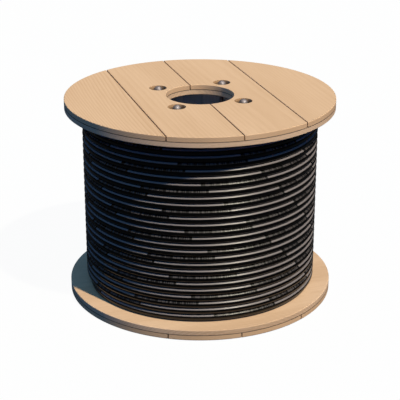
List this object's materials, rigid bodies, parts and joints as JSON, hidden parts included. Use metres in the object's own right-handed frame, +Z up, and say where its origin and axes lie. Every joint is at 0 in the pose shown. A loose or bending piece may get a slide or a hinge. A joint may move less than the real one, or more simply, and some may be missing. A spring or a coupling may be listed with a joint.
{
  "type": "cable drum",
  "caption": "Wooden cable drum standing on a flange, with boarded flanges tied by dome-headed bolts and its barrel full of round black cable.",
  "frame": {"origin": "centre of the drum on the floor, at the outer face of the bottom flange", "axes": "+Z up the drum axis from the bottom flange to the top flange, +Y along the outer boards, +X across them"},
  "size_m": [0.6299, 0.63, 0.4808],
  "materials": {
    "outer_wood": "planed softwood boards, grain along the boards, bare",
    "inner_wood": "sawn softwood disc, grain across the boards, bare",
    "stave_wood": "sawn softwood staves, grain along the drum axis, bare",
    "zinc_steel": "zinc-plated steel, satin",
    "cable_jacket": "black smooth cable sheath, satin"
  },
  "bodies": {
    "root": {"top_board_1": "outer_wood", "top_board_2": "outer_wood", "top_board_3": "outer_wood", "top_board_4": "outer_wood", "top_inner_disc": "inner_wood", "bottom_inner_disc": "inner_wood", "bottom_board_1": "outer_wood", "bottom_board_2": "outer_wood", "bottom_board_3": "outer_wood", "bottom_board_4": "outer_wood", "barrel_stave_1": "stave_wood", "barrel_stave_2": "stave_wood", "barrel_stave_3": "stave_wood", "barrel_stave_4": "stave_wood", "barrel_stave_5": "stave_wood", "barrel_stave_6": "stave_wood", "barrel_stave_7": "stave_wood", "barrel_stave_8": "stave_wood", "barrel_stave_9": "stave_wood", "barrel_stave_10": "stave_wood", "barrel_stave_11": "stave_wood", "barrel_stave_12": "stave_wood", "barrel_stave_13": "stave_wood", "barrel_stave_14": "stave_wood", "barrel_stave_15": "stave_wood", "barrel_stave_16": "stave_wood", "barrel_stave_17": "stave_wood", "barrel_stave_18": "stave_wood", "tie_bolt_1": "zinc_steel", "tie_bolt_2": "zinc_steel", "tie_bolt_3": "zinc_steel", "tie_bolt_4": "zinc_steel", "tie_washer_1": "zinc_steel", "tie_washer_2": "zinc_steel", "tie_washer_3": "zinc_steel", "tie_washer_4": "zinc_steel", "tie_nut_1": "zinc_steel", "tie_nut_2": "zinc_steel", "tie_nut_3": "zinc_steel", "tie_nut_4": "zinc_steel", "cable_winding": "cable_jacket"}
  },
  "joints": []
}
